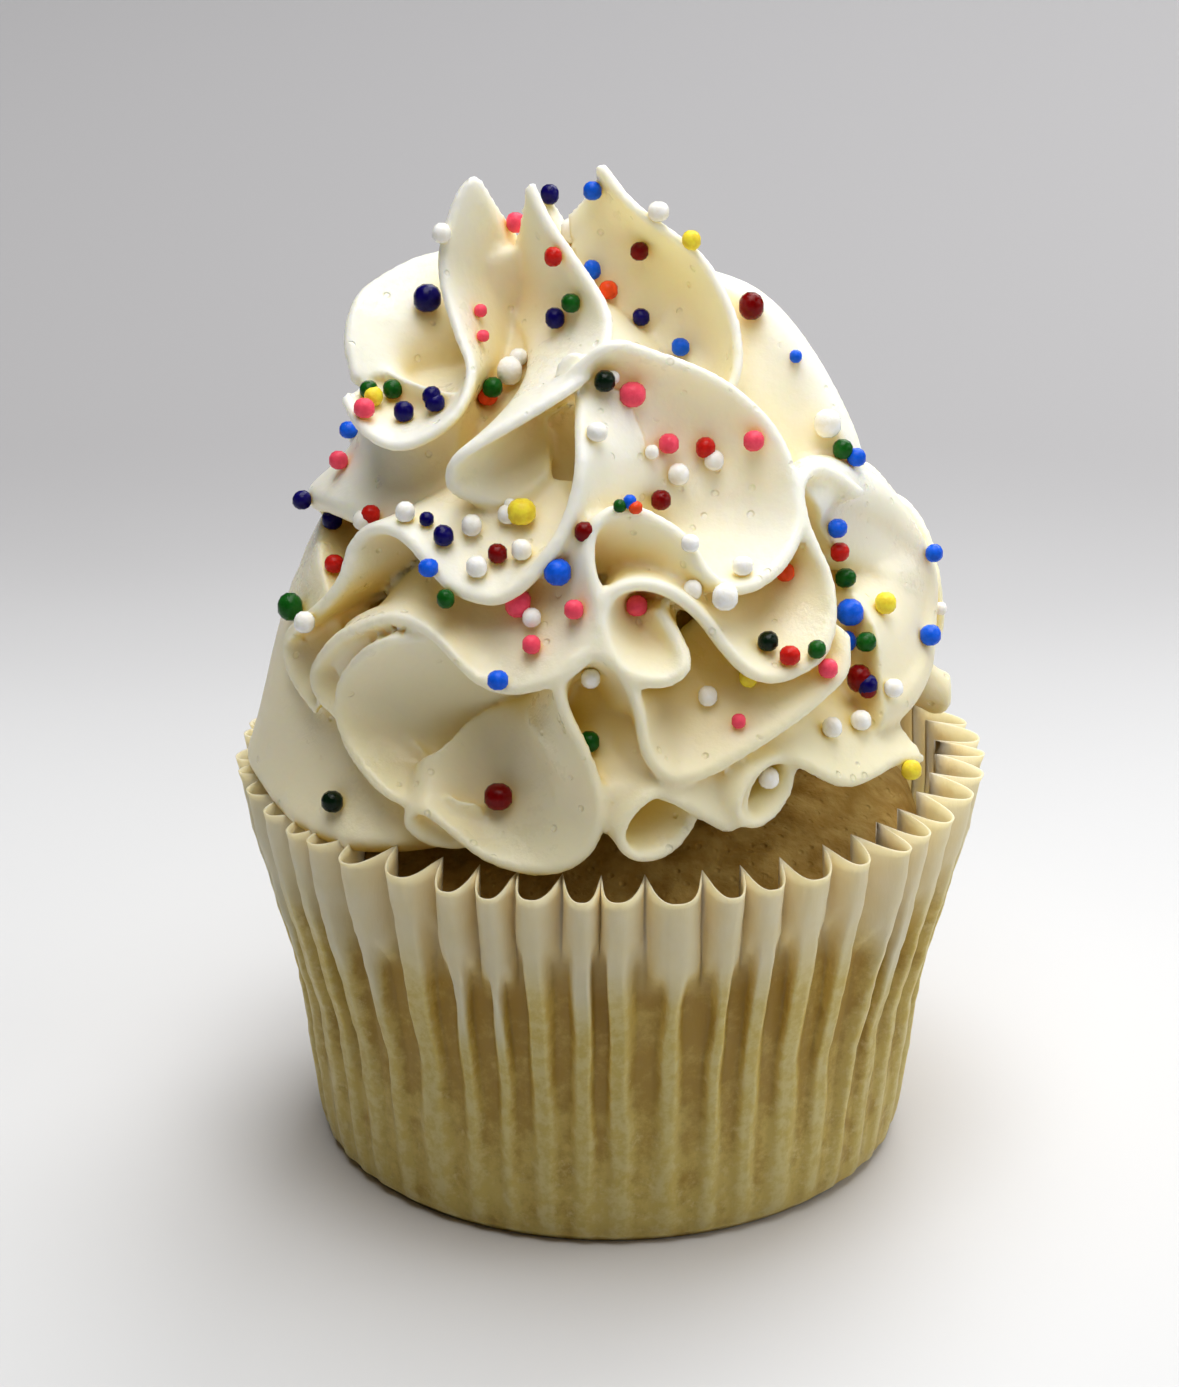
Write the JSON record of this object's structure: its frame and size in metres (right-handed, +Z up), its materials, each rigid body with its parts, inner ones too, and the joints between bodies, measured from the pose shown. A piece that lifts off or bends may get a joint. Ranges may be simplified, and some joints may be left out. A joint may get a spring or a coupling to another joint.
{
  "type": "cupcake",
  "caption": "Frosted cupcake in a pleated paper case, with a tall ruffled swirl of piped cream frosting and sugar pearls; rests on its flat base.",
  "frame": {"origin": "centre of the case's base, on the surface that it stands on", "axes": "+Z up, -Y the side first looked at, +X to its right"},
  "size_m": [0.0659, 0.0658, 0.0881],
  "materials": {
    "paper": "thin greaseproof paper, grease-soaked where it touches the sponge",
    "sponge": "baked vanilla sponge, matt and finely pored",
    "frosting": "cream frosting, ivory, softly glossy and slightly translucent"
  },
  "bodies": {
    "root": {"paper_case": "paper", "sponge": "sponge", "frosting": "frosting"}
  },
  "joints": []
}
